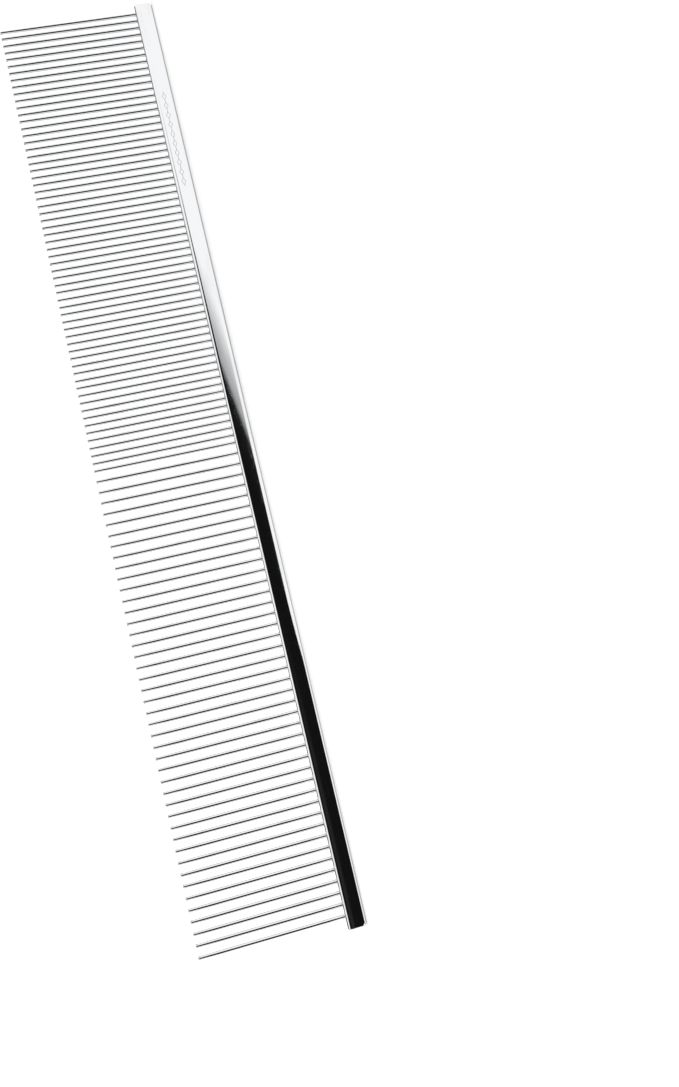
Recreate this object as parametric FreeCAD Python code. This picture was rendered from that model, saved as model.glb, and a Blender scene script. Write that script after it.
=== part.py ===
import FreeCAD, Part
import math
import os

# Steel grooming comb: a solid plated bar (the spine) with a single row of
# round steel pins (the teeth) pressed into blind holes along one long side.
# One half of the row is closely spaced (fine), the other half is wider
# (coarse). Nothing on the comb moves.
#
# Frame: millimetres. X runs along the bar, coarse end at -X and fine end
# at +X. Z is up: the comb stands on the flat back of its bar with the teeth
# pointing up. The front face of the bar looks toward -Y. The origin is the
# middle of the flat back, on the surface that the comb stands on.

# ---------------------------------------------------------------- dimensions
bar_length = 190.5          # along X (7 1/2 in)
bar_height = 3.7            # along Z, from the flat back to the tooth side
bar_thickness = 3.2         # along Y, front face to rear face
bar_edge_radius = 0.65      # rounding of the four long edges
bar_back_corner_radius = 0.70   # rounding of the two back corners at the ends
bar_tooth_corner_radius = 0.30  # rounding of the two tooth-side end corners

tooth_length = 27.9         # visible length, tooth side of the bar to the tip
tooth_shank_length = 2.2    # part of each tooth that sits in the bar
socket_clearance = 0.006    # radial room between a tooth shank and its socket

fine_tooth_count = 62
fine_tooth_pitch = 1.539
fine_tooth_diameter = 0.80
fine_tip_diameter = 0.70

coarse_tooth_count = 43
coarse_tooth_pitch = 2.165
coarse_tooth_diameter = 0.88
coarse_tip_diameter = 0.76

taper_length = 5.0          # the teeth thin slightly over this end length
fine_end_margin = 1.2       # fine end of the bar to the first fine tooth
fine_teeth_per_node = 4     # fine teeth share nodes in runs of four

overall_height = bar_height + tooth_length

os.makedirs("parts", exist_ok=True)


def vec(x, y, z):
    return FreeCAD.Vector(x, y, z)


def rounded_rect_wire(points, radii):
    """Closed wire through a convex polygon, each corner rounded by its radius.
    The polygon's points are listed in order; tangent arcs replace corners."""
    n = len(points)
    edges = []
    starts, ends = [], []
    arcs = []
    for i in range(n):
        p = points[i]
        a = (points[i - 1] - p).normalize()
        b = (points[(i + 1) % n] - p).normalize()
        half = a.getAngle(b) / 2.0
        t = radii[i] / math.tan(half)
        pa = p + a * t
        pb = p + b * t
        bis = (a + b).normalize()
        centre = p + bis * (radii[i] / math.sin(half))
        mid = centre - bis * radii[i]
        starts.append(pa)
        ends.append(pb)
        arcs.append(Part.Arc(pa, mid, pb).toShape())
    for i in range(n):
        edges.append(arcs[i])
        edges.append(Part.LineSegment(ends[i], starts[(i + 1) % n]).toShape())
    return Part.Wire(edges)


# ------------------------------------------------------------ tooth positions
# The fine teeth start at the +X end of the bar and run toward -X. The gap
# between the last fine tooth and the first coarse tooth is a coarse gap.
fine_x = []
x = bar_length / 2.0 - fine_end_margin
for i in range(fine_tooth_count):
    fine_x.append(x - i * fine_tooth_pitch)
coarse_x = []
x = fine_x[-1]
for i in range(coarse_tooth_count):
    coarse_x.append(x - (i + 1) * coarse_tooth_pitch)


def make_tooth(x, diameter, tip_diameter):
    """One pin, revolved about its own vertical axis: a flat-ended shank in
    the bar, a parallel length, a slight taper and a ball-rounded tip."""
    r = diameter / 2.0
    rt = tip_diameter / 2.0
    z0 = bar_height - tooth_shank_length
    z1 = overall_height - taper_length
    z2 = overall_height - rt
    z3 = overall_height
    s = math.sqrt(0.5)
    edges = [
        Part.LineSegment(vec(0, 0, z0), vec(r, 0, z0)).toShape(),
        Part.LineSegment(vec(r, 0, z0), vec(r, 0, z1)).toShape(),
        Part.LineSegment(vec(r, 0, z1), vec(rt, 0, z2)).toShape(),
        Part.Arc(vec(rt, 0, z2), vec(rt * s, 0, z2 + rt * s),
                 vec(0, 0, z3)).toShape(),
        Part.LineSegment(vec(0, 0, z3), vec(0, 0, z0)).toShape(),
    ]
    face = Part.Face(Part.Wire(edges))
    tooth = face.revolve(vec(0, 0, 0), vec(0, 0, 1), 360)
    tooth.translate(vec(x, 0, 0))
    return tooth


# ------------------------------------------------------------------ the spine
hl, ht = bar_length / 2.0, bar_thickness / 2.0

# Cross-section across the bar, run along its whole length.
section = rounded_rect_wire(
    [vec(-hl, -ht, 0), vec(-hl, ht, 0),
     vec(-hl, ht, bar_height), vec(-hl, -ht, bar_height)],
    [bar_edge_radius] * 4)
long_bar = Part.Face(section).extrude(vec(bar_length, 0, 0))

# Side outline of the bar, with its four end corners rounded.
outline = rounded_rect_wire(
    [vec(-hl, -ht - 1, 0), vec(hl, -ht - 1, 0),
     vec(hl, -ht - 1, bar_height), vec(-hl, -ht - 1, bar_height)],
    [bar_back_corner_radius, bar_back_corner_radius,
     bar_tooth_corner_radius, bar_tooth_corner_radius])
side_block = Part.Face(outline).extrude(vec(0, bar_thickness + 2, 0))

spine = long_bar.common(side_block)

# Blind sockets, one under each tooth, drilled down from the tooth side.
sockets = []
for xs, dia in ((fine_x, fine_tooth_diameter),
                (coarse_x, coarse_tooth_diameter)):
    for tx in xs:
        sockets.append(Part.makeCylinder(
            dia / 2.0 + socket_clearance, tooth_shank_length + 1.0,
            vec(tx, 0, bar_height - tooth_shank_length), vec(0, 0, 1)))
spine = spine.cut(Part.makeCompound(sockets))
if spine.ShapeType == "Compound" and len(spine.Solids) == 1:
    spine = spine.Solids[0]
spine.exportStep("parts/spine.step")

# ------------------------------------------------------------------ the teeth
for i, tx in enumerate(coarse_x):
    tooth = make_tooth(tx, coarse_tooth_diameter, coarse_tip_diameter)
    tooth.exportStep("parts/coarse_tooth_%02d.step" % (i + 1))

run = 0
for start in range(0, fine_tooth_count, fine_teeth_per_node):
    run += 1
    group = [make_tooth(tx, fine_tooth_diameter, fine_tip_diameter)
             for tx in fine_x[start:start + fine_teeth_per_node]]
    Part.makeCompound(group).exportStep("parts/fine_teeth_%02d.step" % run)

print("spine valid", spine.isValid(), "solids", len(spine.Solids),
      "volume %.2f" % spine.Volume)
print("bar margin at the coarse end %.3f" % (coarse_x[-1] + hl))
print("files", run + len(coarse_x) + 1)
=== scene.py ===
import math
import random

import bpy
import numpy as np
from mathutils import Matrix, Vector


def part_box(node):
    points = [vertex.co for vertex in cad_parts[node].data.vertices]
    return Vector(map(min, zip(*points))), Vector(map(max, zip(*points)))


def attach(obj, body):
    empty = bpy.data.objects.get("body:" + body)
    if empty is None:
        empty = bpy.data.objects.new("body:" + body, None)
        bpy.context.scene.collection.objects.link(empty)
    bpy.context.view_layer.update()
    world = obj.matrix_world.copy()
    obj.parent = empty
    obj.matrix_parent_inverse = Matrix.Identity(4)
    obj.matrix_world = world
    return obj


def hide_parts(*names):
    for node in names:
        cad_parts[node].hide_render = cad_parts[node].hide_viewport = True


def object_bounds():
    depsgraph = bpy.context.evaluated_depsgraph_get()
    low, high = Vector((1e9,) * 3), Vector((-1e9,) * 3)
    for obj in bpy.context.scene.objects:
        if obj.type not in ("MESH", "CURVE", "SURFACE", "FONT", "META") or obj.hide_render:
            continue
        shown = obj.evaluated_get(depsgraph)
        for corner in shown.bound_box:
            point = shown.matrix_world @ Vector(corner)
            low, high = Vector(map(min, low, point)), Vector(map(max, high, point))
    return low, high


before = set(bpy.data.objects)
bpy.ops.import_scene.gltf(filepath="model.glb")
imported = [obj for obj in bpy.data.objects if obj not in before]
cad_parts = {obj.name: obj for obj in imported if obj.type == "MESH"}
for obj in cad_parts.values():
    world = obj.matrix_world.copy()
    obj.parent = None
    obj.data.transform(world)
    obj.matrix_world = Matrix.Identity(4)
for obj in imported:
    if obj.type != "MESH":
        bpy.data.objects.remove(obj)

CAD_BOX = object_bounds()
MM = 0.001
rng = random.Random(41)

# ------------------------------------------------------------------ the frame
spine_lo, spine_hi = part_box("spine")
whole_lo, whole_hi = CAD_BOX
HALF_L = (spine_hi.x - spine_lo.x) / 2 / MM      # everything below is in mm
HT = (spine_hi.y - spine_lo.y) / 2 / MM
H = spine_hi.z / MM
TOP = whole_hi.z / MM


def tooth_places(node):
    """Centre x and radius (mm) and lowest z of each tooth in a CAD node."""
    co = np.array([v.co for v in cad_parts[node].data.vertices]) / MM
    xs = np.sort(co[:, 0])
    cuts = np.where(np.diff(xs) > 0.25)[0]
    groups = np.split(xs, cuts + 1)
    lo_z = float(co[:, 2].min())
    return [((g[0] + g[-1]) / 2, (g[-1] - g[0]) / 2, lo_z) for g in groups]


coarse_nodes = sorted(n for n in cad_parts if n.startswith("coarse_tooth_"))
fine_nodes = sorted(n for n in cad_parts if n.startswith("fine_teeth_"))
teeth = []                                       # (name, node, x, radius, z_low, tip_r)
for n in fine_nodes:
    for x, r, z in sorted(tooth_places(n), key=lambda t: -t[0]):
        teeth.append(["fine", n, x, r, z, 0.35])
for n in coarse_nodes:
    for x, r, z in tooth_places(n):
        teeth.append(["coarse", n, x, r, z, 0.38])
teeth.sort(key=lambda t: -t[2])
count = {"fine": 0, "coarse": 0}
for t in teeth:
    count[t[0]] += 1
    t.append("%s_pin_%02d" % (t[0], count[t[0]]))


# ------------------------------------------------------------- mesh utilities
def mesh_object(name, verts, faces, corner_normals, material, smooth=True):
    me = bpy.data.meshes.new(name)
    me.from_pydata([tuple(v) for v in verts], [], [tuple(f) for f in faces])
    me.polygons.foreach_set("use_smooth", [smooth] * len(me.polygons))
    me.update()
    me.normals_split_custom_set([tuple(n) for n in corner_normals])
    me.materials.append(material)
    ob = bpy.data.objects.new(name, me)
    bpy.context.scene.collection.objects.link(ob)
    return ob


class Build:
    """Collects verts and faces, with a normal for every face corner."""

    def __init__(self):
        self.v, self.f, self.n = [], [], []

    def add(self, points):
        k = len(self.v)
        self.v.extend([(p[0] * MM, p[1] * MM, p[2] * MM) for p in points])
        return list(range(k, k + len(points)))

    def face(self, idx, normals):
        a, b, c = (np.array(self.v[i]) for i in idx[:3])
        g = np.cross(b - a, c - b)
        if len(idx) > 3:
            d = np.array(self.v[idx[3]])
            g = np.cross(c - a, d - b)
        m = np.sum(np.array(normals), axis=0)
        if float(g @ m) < 0:
            idx, normals = idx[::-1], normals[::-1]
        self.f.append(list(idx))
        self.n.extend(normals)


# ------------------------------------------------------------------ materials
def new_material(name):
    m = bpy.data.materials.new(name)
    m.use_nodes = True
    nt = m.node_tree
    nt.nodes.clear()
    out = nt.nodes.new("ShaderNodeOutputMaterial")
    bsdf = nt.nodes.new("ShaderNodeBsdfPrincipled")
    nt.links.new(bsdf.outputs["BSDF"], out.inputs["Surface"])
    return m, nt, bsdf


class Nodes:
    def __init__(self, nt):
        self.nt = nt

    def link(self, a, b):
        self.nt.links.new(a, b)

    def value(self, socket, v):
        if hasattr(v, "is_linked") or isinstance(v, bpy.types.NodeSocket):
            self.link(v, socket)
        else:
            socket.default_value = v

    def math(self, op, a, b=None, c=None, clamp=False):
        n = self.nt.nodes.new("ShaderNodeMath")
        n.operation = op
        n.use_clamp = clamp
        for i, v in enumerate((a, b, c)):
            if v is not None:
                self.value(n.inputs[i], v)
        return n.outputs[0]

    def vmath(self, op, a, b=None, scale=None):
        n = self.nt.nodes.new("ShaderNodeVectorMath")
        n.operation = op
        self.value(n.inputs[0], a)
        if b is not None:
            self.value(n.inputs[1], b)
        if scale is not None:
            n.inputs["Scale"].default_value = scale
        return n.outputs["Value"] if op in ("LENGTH", "DOT_PRODUCT", "DISTANCE") else n.outputs["Vector"]

    def range(self, v, a, b, lo=0.0, hi=1.0, kind="SMOOTHSTEP"):
        n = self.nt.nodes.new("ShaderNodeMapRange")
        n.interpolation_type = kind
        self.value(n.inputs["Value"], v)
        self.value(n.inputs["From Min"], a)
        self.value(n.inputs["From Max"], b)
        self.value(n.inputs["To Min"], lo)
        self.value(n.inputs["To Max"], hi)
        return n.outputs["Result"]

    def noise(self, vec, scale, detail=2.0, rough=0.5, dims="3D"):
        n = self.nt.nodes.new("ShaderNodeTexNoise")
        n.noise_dimensions = dims
        self.link(vec, n.inputs["Vector"])
        n.inputs["Scale"].default_value = scale
        n.inputs["Detail"].default_value = detail
        n.inputs["Roughness"].default_value = rough
        return n.outputs["Fac"]

    def mapping(self, vec, scale, rot=(0, 0, 0), loc=(0, 0, 0)):
        n = self.nt.nodes.new("ShaderNodeMapping")
        self.link(vec, n.inputs["Vector"])
        n.inputs["Scale"].default_value = scale
        n.inputs["Rotation"].default_value = rot
        n.inputs["Location"].default_value = loc
        return n.outputs["Vector"]

    def object_mm(self):
        t = self.nt.nodes.new("ShaderNodeTexCoord")
        return self.vmath("SCALE", t.outputs["Object"], scale=1000.0)

    def split(self, vec):
        n = self.nt.nodes.new("ShaderNodeSeparateXYZ")
        self.link(vec, n.inputs[0])
        return n.outputs[0], n.outputs[1], n.outputs[2]

    def combine(self, x, y, z):
        n = self.nt.nodes.new("ShaderNodeCombineXYZ")
        for i, v in enumerate((x, y, z)):
            self.value(n.inputs[i], v)
        return n.outputs[0]

    def mixcolor(self, fac, a, b):
        n = self.nt.nodes.new("ShaderNodeMix")
        n.data_type = "RGBA"
        self.value(n.inputs["Factor"], fac)
        for s, v in ((n.inputs[6], a), (n.inputs[7], b)):
            if isinstance(v, tuple):
                s.default_value = (*v, 1.0)
            else:
                self.link(v, s)
        return n.outputs[2]

    def bump(self, height, strength, distance):
        n = self.nt.nodes.new("ShaderNodeBump")
        n.inputs["Strength"].default_value = strength
        n.inputs["Distance"].default_value = distance
        self.link(height, n.inputs["Height"])
        return n.outputs["Normal"]


def scratch_set(N, mm, rot, along, across, width, seed):
    """Sparse hairline scratches: 1 on a scratch, 0 elsewhere. along and across
    are the cell's length and width in mm, before the rotation rot."""
    v = N.mapping(mm, (1.0, 1.0, 1.0), rot=rot, loc=(seed, seed * 0.37, seed * 0.71))
    v = N.vmath("MULTIPLY", v, (1 / along, 1 / across, 1 / across))
    w = N.nt.nodes.new("ShaderNodeTexVoronoi")
    w.feature = "DISTANCE_TO_EDGE"
    w.inputs["Scale"].default_value = 1.0
    w.inputs["Randomness"].default_value = 1.0
    N.link(v, w.inputs["Vector"])
    line = N.range(w.outputs["Distance"], width, 0.0)
    keep = N.range(N.noise(v, 0.9, 1.0), 0.50, 0.62)
    return N.math("MULTIPLY", line, keep)


def plated_bar():
    m, nt, bsdf = new_material("plated_bar")
    N = Nodes(nt)
    mm = N.object_mm()
    x, y, z = N.split(mm)
    # polishing grain runs along the bar, wiping marks cross it at low angles
    grain = N.noise(N.vmath("MULTIPLY", mm, (0.22, 16.0, 16.0)), 1.0, 3.0, 0.6)
    haze = N.noise(N.vmath("MULTIPLY", mm, (0.09, 0.35, 0.35)), 1.0, 3.0, 0.55)
    smear = N.range(haze, 0.52, 0.74)
    s1 = scratch_set(N, mm, (0, math.radians(9), 0), 5.5, 0.34, 0.018, 3.1)
    s2 = scratch_set(N, mm, (0, math.radians(-24), 0), 3.2, 0.42, 0.014, 11.7)
    s3 = scratch_set(N, mm, (0, math.radians(58), 0), 1.6, 0.50, 0.014, 23.9)
    scr = N.math("MAXIMUM", N.math("MAXIMUM", s1, s2), N.math("MULTIPLY", s3, 0.7))
    # a chain of small etched lozenges on the front face, near the fine end
    u = N.math("DIVIDE", N.math("SUBTRACT", x, 54.0), 2.1)
    fu = N.math("ABSOLUTE", N.math("SUBTRACT", N.math("FRACT", u), 0.5))
    dz = N.math("ABSOLUTE", N.math("SUBTRACT", z, H / 2))
    loz = N.math("ADD", N.math("DIVIDE", N.math("MULTIPLY", fu, 2.1), 0.86),
                 N.math("DIVIDE", dz, 0.46))
    ring = N.math("MULTIPLY", N.range(loz, 0.74, 0.80), N.range(loz, 1.0, 0.94))
    rule = N.math("MULTIPLY", N.range(dz, 0.055, 0.035), N.range(loz, 0.98, 1.02))
    mark = N.math("MAXIMUM", ring, rule)
    inside = N.math("MULTIPLY", N.math("GREATER_THAN", x, 54.0), N.math("LESS_THAN", x, 75.0))
    inside = N.math("MULTIPLY", inside, N.math("LESS_THAN", y, -HT * 0.9))
    grit = N.noise(N.vmath("MULTIPLY", mm, (30.0, 30.0, 30.0)), 1.0, 2.0)
    mark = N.math("MULTIPLY", N.math("MULTIPLY", mark, inside), N.range(grit, 0.25, 0.55, 0.55, 1.0))
    # colour: cool bright plating, a breath darker where it is smeared
    col = N.mixcolor(smear, (0.700, 0.706, 0.715), (0.655, 0.662, 0.672))
    col = N.mixcolor(mark, col, (0.30, 0.305, 0.315))
    N.link(col, bsdf.inputs["Base Color"])
    rough = N.range(grain, 0.3, 0.7, 0.018, 0.045, "LINEAR")
    rough = N.math("ADD", rough, N.math("MULTIPLY", smear, 0.014))
    rough = N.math("ADD", rough, N.math("MULTIPLY", scr, 0.03))
    rough = N.math("ADD", rough, N.math("MULTIPLY", mark, 0.40))
    N.link(rough, bsdf.inputs["Roughness"])
    h = N.math("SUBTRACT", N.math("MULTIPLY", grain, 0.00006), N.math("MULTIPLY", scr, 0.0003))
    h = N.math("SUBTRACT", h, N.math("MULTIPLY", mark, 0.004))
    h = N.math("ADD", h, N.math("MULTIPLY", N.math("MULTIPLY", mark, grit), 0.003))
    wave = N.noise(N.vmath("MULTIPLY", mm, (0.16, 0.5, 0.5)), 1.0, 1.0)
    h = N.math("ADD", h, N.math("MULTIPLY", wave, 0.0007))
    N.link(N.bump(h, 1.0, MM), bsdf.inputs["Normal"])
    bsdf.inputs["Metallic"].default_value = 1.0
    return m


def tooth_steel():
    m, nt, bsdf = new_material("tooth_steel")
    N = Nodes(nt)
    mm = N.object_mm()
    x, y, z = N.split(mm)
    # drawn wire: long fine die lines, light rubbing toward the tip; random haze tone, and painted shade at the
    # root where the tooth meets the bar
    line = N.noise(N.vmath("MULTIPLY", mm, (22.0, 22.0, 0.35)), 1.0, 3.0, 0.6)
    haze = N.noise(N.vmath("MULTIPLY", mm, (0.8, 0.8, 0.22)), 1.0, 3.0, 0.55)
    tip = N.range(z, TOP - 6.0, TOP - 0.3)
    # painted shade: the first 1.2 mm of tooth above the bar is coloured darker, where the bar shades it
    root_shade = N.range(z, H + 1.2, H)
    # random haze tone together with the painted shade at the root; both also raise the roughness
    haze_and_root_shade = N.math("MAXIMUM", N.range(haze, 0.55, 0.75), N.math("MULTIPLY", root_shade, 0.8))
    col = N.mixcolor(haze_and_root_shade, (0.705, 0.710, 0.718), (0.60, 0.606, 0.615))
    N.link(col, bsdf.inputs["Base Color"])
    rough = N.range(line, 0.3, 0.7, 0.03, 0.07, "LINEAR")
    rough = N.math("ADD", rough, N.math("MULTIPLY", haze_and_root_shade, 0.05))
    rough = N.math("ADD", rough, N.math("MULTIPLY", tip, 0.03))
    N.link(rough, bsdf.inputs["Roughness"])
    h = N.math("MULTIPLY", line, 0.00025)
    N.link(N.bump(h, 1.0, MM), bsdf.inputs["Normal"])
    bsdf.inputs["Metallic"].default_value = 1.0
    return m


bar_material = plated_bar()
tooth_material = tooth_steel()


# ------------------------------------------------------------------ the teeth
SEG = 32


def tooth_profile(r, z0, tip_r):
    """(radius, z, slope normal) rings from the shank's flat end to the tip."""
    rings = []
    z_taper = TOP - 5.5
    z_ball = TOP - tip_r
    for z in (z0, z0 + 0.6, z0 + 1.4, H - 0.03, H + 0.25, H + 2, H + 6, H + 10, H + 14,
              H + 18, (H + 18 + z_taper) / 2, z_taper):
        rings.append((r, z, 0.0))
    for i in range(1, 9):
        t = i / 8
        z = z_taper + (z_ball - z_taper) * t
        # eased in, so that no ring shows where the taper begins
        rr = r - (r - tip_r) * (t * t * (1.6 - 0.6 * t))
        dr = (r - tip_r) * (3.2 * t - 1.8 * t * t) / (z_ball - z_taper)
        rings.append((rr, z, math.atan(dr)))
    for i in range(1, 9):
        a = math.pi / 2 * i / 8
        if i < 8:
            rings.append((tip_r * math.cos(a), z_ball + tip_r * math.sin(a), a))
    return rings


def make_tooth(name, x, r, z0, tip_r):
    b = Build()
    rings = tooth_profile(r, z0, tip_r)
    tilt_x, tilt_y = rng.gauss(0, 0.0011), rng.gauss(0, 0.0011)
    tilt_x, tilt_y = max(-0.002, min(0.002, tilt_x)), max(-0.002, min(0.002, tilt_y))
    spin = rng.uniform(0, 2 * math.pi / SEG)

    def lean(p):
        dz = max(0.0, p[2] - H)
        return (p[0] + tilt_x * dz, p[1] + tilt_y * dz, p[2])

    idx, nor = [], []
    for rr, z, a in rings:
        pts, ns = [], []
        for k in range(SEG):
            t = spin + 2 * math.pi * k / SEG
            pts.append(lean((x + rr * math.cos(t), rr * math.sin(t), z)))
            ns.append((math.cos(t) * math.cos(a), math.sin(t) * math.cos(a), math.sin(a)))
        idx.append(b.add(pts))
        nor.append(ns)
    for j in range(len(rings) - 1):
        for k in range(SEG):
            k2 = (k + 1) % SEG
            b.face([idx[j][k], idx[j][k2], idx[j + 1][k2], idx[j + 1][k]],
                   [nor[j][k], nor[j][k2], nor[j + 1][k2], nor[j + 1][k]])
    top = b.add([lean((x, 0, TOP))])[0]
    for k in range(SEG):
        k2 = (k + 1) % SEG
        b.face([idx[-1][k], idx[-1][k2], top], [nor[-1][k], nor[-1][k2], (0, 0, 1)])
    b.face(idx[0][::-1], [(0, 0, -1)] * SEG)
    return mesh_object(name, b.v, b.f, b.n, tooth_material)


for kind, node, x, r, z0, tip_r, name in teeth:
    ob = make_tooth(name, x, r, z0, tip_r)
    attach(ob, "root")
    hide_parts(node)

# ------------------------------------------------------------------ the spine
R_EDGE = 0.80            # long edges
R_BACK = 0.70            # back corners at the ends
R_TOOTH = 0.30           # tooth-side corners at the ends
R_END = 0.24             # rounding round each end face
CROWN = 0.008            # the polished faces fall away this much at their edges
FLAT_Y = HT - R_EDGE     # half width of the flat strip that holds the sockets
SIDE = 8                 # mesh steps along each side of a tooth's cell


def section():
    """(y, z) points round the bar from the tooth side's front edge, down the
    front face, across the back and up the rear face."""
    pts = []
    na = 12

    def arc(cy, cz, a0, a1, n, first):
        for i in range(0 if first else 1, n + 1):
            a = a0 + (a1 - a0) * i / n
            pts.append((cy + R_EDGE * math.cos(a), cz + R_EDGE * math.sin(a)))

    arc(-FLAT_Y, H - R_EDGE, math.pi / 2, math.pi, na, True)
    nf = 14
    for i in range(1, nf):
        t = i / nf
        z = H - R_EDGE - (H - 2 * R_EDGE) * t
        pts.append((-HT, z))
    arc(-FLAT_Y, R_EDGE, math.pi, 1.5 * math.pi, na, True)
    for i in range(1, 6):
        pts.append((-FLAT_Y + 2 * FLAT_Y * i / 6, 0.0))
    arc(FLAT_Y, R_EDGE, -math.pi / 2, 0.0, na, True)
    for i in range(1, nf):
        t = i / nf
        z = R_EDGE + (H - 2 * R_EDGE) * t
        pts.append((HT, z))
    arc(FLAT_Y, H - R_EDGE, 0.0, math.pi / 2, na, True)
    return pts


SECTION = section()


def crown(y, z):
    """A polished bar's broad faces bow very slightly, highest along the middle."""
    if abs(y) < FLAT_Y + 1e-6:
        return y, z
    w = (z - H / 2) / (H / 2 - R_EDGE)
    w = max(-1.0, min(1.0, w))
    k = (abs(y) - FLAT_Y) / R_EDGE
    return (y - math.copysign(CROWN * w * w * k, y), z)


def inset(e, r):
    """How far a rounded corner of radius r has fallen back at distance e from the end."""
    if e >= r:
        return 0.0
    return r - math.sqrt(max(0.0, r * r - (r - e) ** 2))


def bar_point(j, e, sign):
    """Point j of the section at distance e (mm) from the end on side sign."""
    y, z = crown(*SECTION[j])
    zlo = inset(e, R_BACK)
    zhi = H - inset(e, R_TOOTH)
    yh = HT - inset(e, R_END)
    z2 = zlo + z / H * (zhi - zlo)
    y2 = y * yh / HT
    return np.array((sign * (HALF_L - e), y2, z2))


def bar_normal(j, e, sign):
    n = len(SECTION)
    de = 1e-4
    e0 = max(e, 2e-4)
    p0, p1 = bar_point(j, e0 - de, sign), bar_point(j, e0 + de, sign)
    a = bar_point(max(j - 1, 0), e0, sign)
    c = bar_point(min(j + 1, n - 1), e0, sign)
    # the section's own tangent, so that flats stay flat up to their ends
    y, z = SECTION[j]
    on_arc = None
    for cy in (-FLAT_Y, FLAT_Y):
        for cz in (R_EDGE, H - R_EDGE):
            if abs(math.hypot(y - cy, z - cz) - R_EDGE) < 1e-6 and (y - cy) * cy >= -1e-9 \
                    and (z - cz) * (cz - H / 2) >= -1e-9:
                on_arc = ((y - cy) / R_EDGE, (z - cz) / R_EDGE)
    if on_arc is None:
        on_arc = (math.copysign(1.0, y), 0.0) if abs(y) > FLAT_Y + 1e-6 else (0.0, math.copysign(1.0, z - H / 2))
    ny, nz = on_arc
    if abs(ny) > 0.5 and abs(y) > FLAT_Y:
        w = (z - H / 2) / (H / 2 - R_EDGE)
        if abs(w) <= 1.0:
            nz += 2 * CROWN * w / (H / 2 - R_EDGE) * abs(ny)
        else:
            nz += math.copysign(2 * CROWN / (H / 2 - R_EDGE), w) * abs(ny) * 0.9
    l = math.hypot(ny, nz)
    ny, nz = ny / l, nz / l
    tangent_e = (p1 - p0)
    ts = np.array((0.0, -nz, ny))
    nrm = np.cross(tangent_e, ts)
    l = np.linalg.norm(nrm)
    if l < 1e-12:
        return (float(sign), 0.0, 0.0)
    nrm = nrm / l
    if nrm[1] * ny + nrm[2] * nz < 0:
        nrm = -nrm
    if e < 1e-9:
        return (float(sign), 0.0, 0.0)
    return tuple(float(v) for v in nrm)


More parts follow.
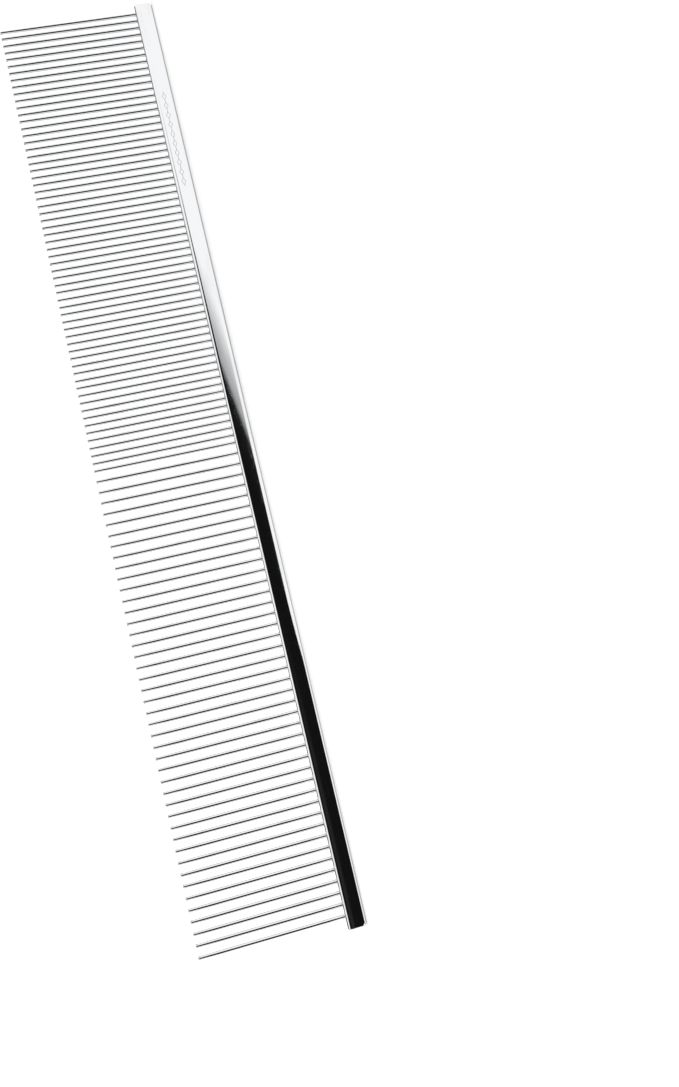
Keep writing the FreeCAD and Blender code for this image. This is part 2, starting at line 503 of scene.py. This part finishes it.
def make_spine():
    b = Build()
    xs_t = [t[2] for t in teeth]                 # from the fine end (+X) down
    rad = [t[3] for t in teeth]
    zlow = [t[4] for t in teeth]
    cells = []
    for i, x in enumerate(xs_t):
        hi = (xs_t[i - 1] + x) / 2 if i else HALF_L - R_BACK - 0.02
        lo = (xs_t[i + 1] + x) / 2 if i + 1 < len(xs_t) else x - (hi - x)
        cells.append((lo, hi))
    # stations along X, from -X to +X
    ends = [0.0, 0.006, 0.02, 0.045, 0.08, 0.12, 0.165, 0.21, 0.24, 0.30, 0.38, 0.47, 0.58, 0.70]
    left = [-HALF_L + e for e in ends]
    stations = list(left)
    lo_last = cells[-1][0]
    gap = lo_last - left[-1]
    k = max(1, int(gap / 0.4))
    stations += [left[-1] + gap * i / k for i in range(1, k)]
    cell_cols = {}
    for i in range(len(cells) - 1, -1, -1):
        lo, hi = cells[i]
        start = len(stations)
        cols = [lo + (hi - lo) * q / SIDE for q in range(SIDE + 1)]
        if abs(stations[-1] - lo) < 1e-7:
            start -= 1
            stations += cols[1:]
        else:
            stations += cols
        cell_cols[i] = start
    right = [HALF_L - e for e in ends[::-1]]
    if right[0] - stations[-1] < 1e-4:
        right = right[1:]
    stations += right
    ns, m = len(stations), len(SECTION)
    grid, norm = [], []
    for x in stations:
        sign = 1.0 if x > 0 else -1.0
        e = HALF_L - abs(x)
        grid.append(b.add([bar_point(j, e, sign) for j in range(m)]))
        norm.append([bar_normal(j, e, sign) for j in range(m)])
    for i in range(ns - 1):
        for j in range(m - 1):
            b.face([grid[i][j], grid[i + 1][j], grid[i + 1][j + 1], grid[i][j + 1]],
                   [norm[i][j], norm[i + 1][j], norm[i + 1][j + 1], norm[i][j + 1]])
    # the strip on the tooth side: a row of points across it at each station
    ny = SIDE
    cell_of = {}
    for i, start in cell_cols.items():
        for q in range(SIDE):
            cell_of[start + q] = i
    strip = {}

    def strip_row(i):
        if i not in strip:
            x = stations[i]
            sign = 1.0 if x > 0 else -1.0
            e = HALF_L - abs(x)
            f0, f1 = np.array(b.v[grid[i][0]]) / MM, np.array(b.v[grid[i][m - 1]]) / MM
            row = [grid[i][0]] + b.add([f0 + (f1 - f0) * q / ny for q in range(1, ny)]) + [grid[i][m - 1]]
            strip[i] = (row, norm[i][0])
        return strip[i]

    for i in range(ns - 1):
        if i in cell_of:
            continue
        (ra, na_), (rb, nb_) = strip_row(i), strip_row(i + 1)
        for q in range(ny):
            b.face([ra[q], rb[q], rb[q + 1], ra[q + 1]], [na_, nb_, nb_, na_])
    up = (0.0, 0.0, 1.0)
    for ci, start in cell_cols.items():
        x, r, z0 = xs_t[ci], rad[ci], zlow[ci]
        ra, rb = strip_row(start)[0], strip_row(start + SIDE)[0]
        # the cell's border, anticlockwise seen from above, from its (-x, -y) corner
        loop = [grid[start + q][0] for q in range(SIDE)]
        loop += rb[:-1]
        loop += [grid[start + SIDE - q][m - 1] for q in range(SIDE)]
        loop += ra[:0:-1]
        n = len(loop)
        ang = []
        for v in loop:
            p = np.array(b.v[v]) / MM
            ang.append(math.atan2(p[1], p[0] - x))
        # even spacing round the hole, in the same order as the border
        a0 = ang[0]
        even = [a0 + 2 * math.pi * k / n for k in range(n)]
        ang = [math.atan2(p, q) for p, q in zip([math.sin(a) for a in even], [math.cos(a) for a in even])]
        lip, throat = r + 0.055, r + 0.006

        def ring(rr, z):
            return b.add([(x + rr * math.cos(a), rr * math.sin(a), z) for a in ang])

        r0 = ring(lip, H)
        for k in range(n):
            k2 = (k + 1) % n
            b.face([loop[k], loop[k2], r0[k2], r0[k]], [up] * 4)
        # a tiny countersink, then the wall and the floor of the socket
        r1 = ring(lip, H)
        r2 = ring(throat, H - 0.05)
        s = math.sqrt(0.5)
        inn = [(-math.cos(a), -math.sin(a), 0.0) for a in ang]
        con = [(-math.cos(a) * s, -math.sin(a) * s, s) for a in ang]
        for k in range(n):
            k2 = (k + 1) % n
            b.face([r0[k], r0[k2], r2[k2], r2[k]], [con[k], con[k2], con[k2], con[k]])
        r4 = ring(throat, z0)
        for k in range(n):
            k2 = (k + 1) % n
            b.face([r2[k], r2[k2], r4[k2], r4[k]], [inn[k], inn[k2], inn[k2], inn[k]])
        b.face(list(r4), [up] * n)
    # end faces
    for i, sign in ((0, -1.0), (ns - 1, 1.0)):
        row = strip_row(i)[0]
        loop = grid[i] + row[-2:0:-1]
        c = b.add([np.mean([np.array(b.v[v]) for v in loop], axis=0) / MM])[0]
        nn = (sign, 0.0, 0.0)
        for k in range(len(loop)):
            b.face([loop[k], loop[(k + 1) % len(loop)], c], [nn, nn, nn])
    # drop the unused doubled lip rings
    used = sorted({v for f in b.f for v in f})
    remap = {v: i for i, v in enumerate(used)}
    verts = [b.v[v] for v in used]
    faces = [[remap[v] for v in f] for f in b.f]
    return mesh_object("comb_spine", verts, faces, b.n, bar_material)


spine = make_spine()
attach(spine, "root")
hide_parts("spine")

# ------------------------------------------------------------------ the stage
scene = bpy.context.scene
scene.view_settings.view_transform = "Standard"
scene.view_settings.look = "None"
scene.view_settings.exposure = 0.0
scene.view_settings.gamma = 1.0

floor_mesh = bpy.data.meshes.new("floor")
ringn, F = 96, 3.0
fv = [(F * math.cos(2 * math.pi * k / ringn), F * math.sin(2 * math.pi * k / ringn), 0.0) for k in range(ringn)]
floor_mesh.from_pydata(fv, [], [list(range(ringn))])
floor = bpy.data.objects.new("floor", floor_mesh)
scene.collection.objects.link(floor)
fm, fnt, fb = new_material("floor_paper")
FN = Nodes(fnt)
tex = FN.noise(FN.object_mm(), 0.8, 3.0)
FN.link(FN.mixcolor(tex, (0.82, 0.82, 0.82), (0.85, 0.85, 0.85)), fb.inputs["Base Color"])
fb.inputs["Roughness"].default_value = 0.9
fb.inputs["Specular IOR Level"].default_value = 0.0
floor_mesh.materials.append(fm)
floor.visible_glossy = False

# Soft white surround with a dark flag, as polished metal is lit in a studio.
world = bpy.data.worlds.new("studio")
scene.world = world
world.use_nodes = True
wnt = world.node_tree
wnt.nodes.clear()
W = Nodes(wnt)
wout = wnt.nodes.new("ShaderNodeOutputWorld")
wbg = wnt.nodes.new("ShaderNodeBackground")
wnt.links.new(wbg.outputs[0], wout.inputs[0])
wtc = wnt.nodes.new("ShaderNodeTexCoord")
wx, wy, wz = W.split(wtc.outputs["Generated"])
theta = W.math("DEGREES", W.math("ARCTAN2", wx, W.math("MULTIPLY", wy, -1.0)))
phi = W.math("DEGREES", W.math("ARCSINE", wz))
WHITE = 1.30
# The flag's edge toward the fine end, for the bar's broad face, slants a little.
tilt = W.math("MULTIPLY", W.math("ADD", W.math("MINIMUM", W.math("MAXIMUM", phi, -6.0), -1.0), 3.2), 1.3)
shift = W.math("ADD", tilt, W.range(phi, 5.0, 12.0, 0.0, 11.5))
fac = W.math("DIVIDE", W.math("SUBTRACT", W.math("SUBTRACT", theta, shift), 10.0), 20.0)
ramp = wnt.nodes.new("ShaderNodeValToRGB")
wnt.links.new(fac, ramp.inputs["Fac"])
cr = ramp.color_ramp
stops = [(0.0, 0.006), (0.255, 0.010), (0.30, 0.16), (0.345, 0.42), (0.44, 0.50), (0.56, 0.72), (0.70, 1.0)]
while len(cr.elements) < len(stops):
    cr.elements.new(0.5)
for el, (p, v) in zip(cr.elements, stops):
    el.position = p
for el, (p, v) in zip(cr.elements, stops):
    el.position = p
    el.color = (v, v, v, 1.0)
edge_hi = ramp.outputs["Color"]


def product(*factors):
    r = factors[0]
    for f in factors[1:]:
        r = W.math("MULTIPLY", r, f)
    return r


def over(base, mask, tone_in):
    """base where mask is 0, tone_in where it is 1"""
    return W.math("ADD", W.math("MULTIPLY", base, W.math("SUBTRACT", 1.0, mask)),
                  W.math("MULTIPLY", mask, tone_in))


# main flag: what the broad front face and the tooth-side edge mirror
philo = W.range(theta, 3.0, -3.0, -5.0, -60.0)
main = product(W.range(theta, -40.0, -30.0), W.range(phi, 60.0, 50.0),
               W.range(W.math("SUBTRACT", phi, philo), -2.5, 0.0))
# side flag: only what the upright teeth mirror
side = product(W.range(theta, -60.0, -48.0), W.range(theta, 4.0, -12.0),
               W.range(phi, -2.2, -1.6), W.range(phi, 9.5, 7.5))
# grey room behind, which draws the thin grey lines along the bar's outlines
rear_hi = product(W.range(wy, 0.0, 0.05), W.range(phi, 9.0, 13.0), W.range(phi, 76.0, 66.0))
rear_lo = product(W.range(wy, 0.0, 0.05), W.range(phi, -9.0, -13.0), W.range(phi, -76.0, -66.0))
far = W.range(wx, 0.10, -0.25)
tone = over(1.0, main, edge_hi)
tone = over(tone, side, 0.02)
tone = over(tone, rear_hi, W.math("SUBTRACT", 0.22, W.math("MULTIPLY", far, 0.12)))
tone = over(tone, rear_lo, 0.42)
lp = wnt.nodes.new("ShaderNodeLightPath")
lum = over(1.45, lp.outputs["Is Glossy Ray"], W.math("MULTIPLY", tone, WHITE))
wnt.links.new(W.combine(lum, lum, lum), wbg.inputs["Color"])
wbg.inputs["Strength"].default_value = 1.0

# ----------------------------------------------------------------- the camera
cam_data = bpy.data.cameras.new("camera")
cam_data.sensor_width = 36.0
cam_data.lens = 850.0 / 1087.0 * 36.0
cam_data.clip_start, cam_data.clip_end = 0.01, 20.0
cam = bpy.data.objects.new("camera", cam_data)
scene.collection.objects.link(cam)
right = Vector((-0.23551, -0.106814, -0.965984))
upv = Vector((0.966867, -0.126494, -0.221738))
back = Vector((-0.098507, -0.9862, 0.133066))
rot = Matrix((right, upv, back)).transposed()
rot = rot @ Matrix.Rotation(-0.00211, 3, "Y") @ Matrix.Rotation(0.00133, 3, "X") @ Matrix.Rotation(0.0017, 3, "Z")
cam.matrix_world = Matrix.Translation(Vector((-40.859, -166.212, 10.898)) * MM) @ rot.to_4x4()
scene.camera = cam
